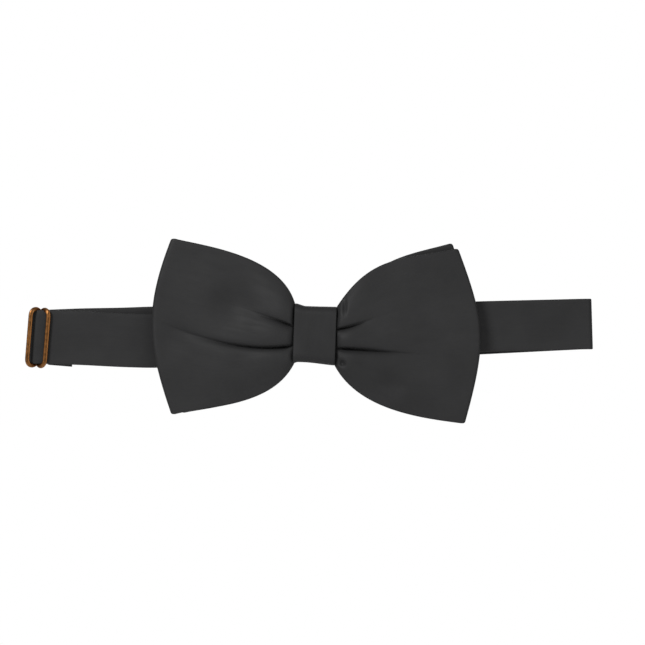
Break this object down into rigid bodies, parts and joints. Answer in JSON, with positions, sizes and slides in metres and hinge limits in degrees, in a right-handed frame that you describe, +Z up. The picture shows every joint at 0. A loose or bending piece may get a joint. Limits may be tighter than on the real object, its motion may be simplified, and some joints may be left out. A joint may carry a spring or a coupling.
{
  "type": "bow tie",
  "caption": "Pre-tied satin bow tie: two looped bow layers gathered by a wrapped knot on a folded adjustable neckband with a metal slide, hook and eye.",
  "frame": {"origin": "on the back plane of the folded neckband, straight behind the middle of the knot", "axes": "+X to the right seen from the front, along the neckband; +Z up as worn; +Y towards the wearer, so the bow's front faces -Y"},
  "size_m": [0.215, 0.0195, 0.0686],
  "materials": {
    "satin": "charcoal black satin, soft sheen",
    "canvas": "plain woven interlining, matt",
    "lining": "plain black lining, matt",
    "wadding": "soft polyester wadding, matt",
    "thread": "black polyester thread",
    "bronze": "antique bronze plating, satin, worn on the edges"
  },
  "bodies": {
    "bow": {"front_bow_satin": "satin", "front_bow_interlining": "canvas", "front_bow_lining": "lining", "back_bow_satin": "satin", "back_bow_interlining": "canvas", "waist_binding": "thread", "knot_padding": "wadding", "knot_interlining": "canvas", "knot_wrap": "satin", "knot_closing_stitches": "thread", "front_strap_satin": "satin", "front_strap_interlining": "canvas", "left_strap_fold": "satin", "right_strap_fold": "satin"},
    "adjuster": {"slide_frame": "bronze", "sewn_strap_end": "satin", "sewn_end_stitches": "thread"},
    "rear_left": {"left_rear_satin": "satin", "left_rear_interlining": "canvas"},
    "rear_right": {"right_rear_satin": "satin", "right_rear_interlining": "canvas", "eye_end_stitches": "thread"},
    "hook": {"hook_plate": "bronze"},
    "eye": {"eye_ring": "bronze"}
  },
  "joints": [
    {"name": "left_fold", "type": "hinge", "parent": "bow", "child": "rear_left", "pos_m": [-0.1049, -0.00315, 0], "axis": [0, 0, 1], "range_deg": [0, 90], "deforming": ["left_strap_fold"]},
    {"name": "right_fold", "type": "hinge", "parent": "bow", "child": "rear_right", "pos_m": [0.1031, -0.00315, 0], "axis": [0, 0, -1], "range_deg": [0, 90], "deforming": ["right_strap_fold"]},
    {"name": "adjuster_slide", "type": "slide", "parent": "bow", "child": "adjuster", "axis": [0.9996, 0, -0.0296], "range_m": [0, 0.03]},
    {"name": "hook_swivel", "type": "hinge", "parent": "rear_left", "child": "hook", "pos_m": [0.02, -0.00135, 0.0009], "axis": [0, 0, 1], "range_deg": [0, 90]},
    {"name": "eye_swivel", "type": "hinge", "parent": "rear_right", "child": "eye", "pos_m": [0.036, -0.00135, 0.0009], "axis": [0, 0, 1], "range_deg": [0, 25]}
  ],
  "couplings": [
    {"joint": "right_fold", "follows": "left_fold", "ratio": 1}
  ]
}
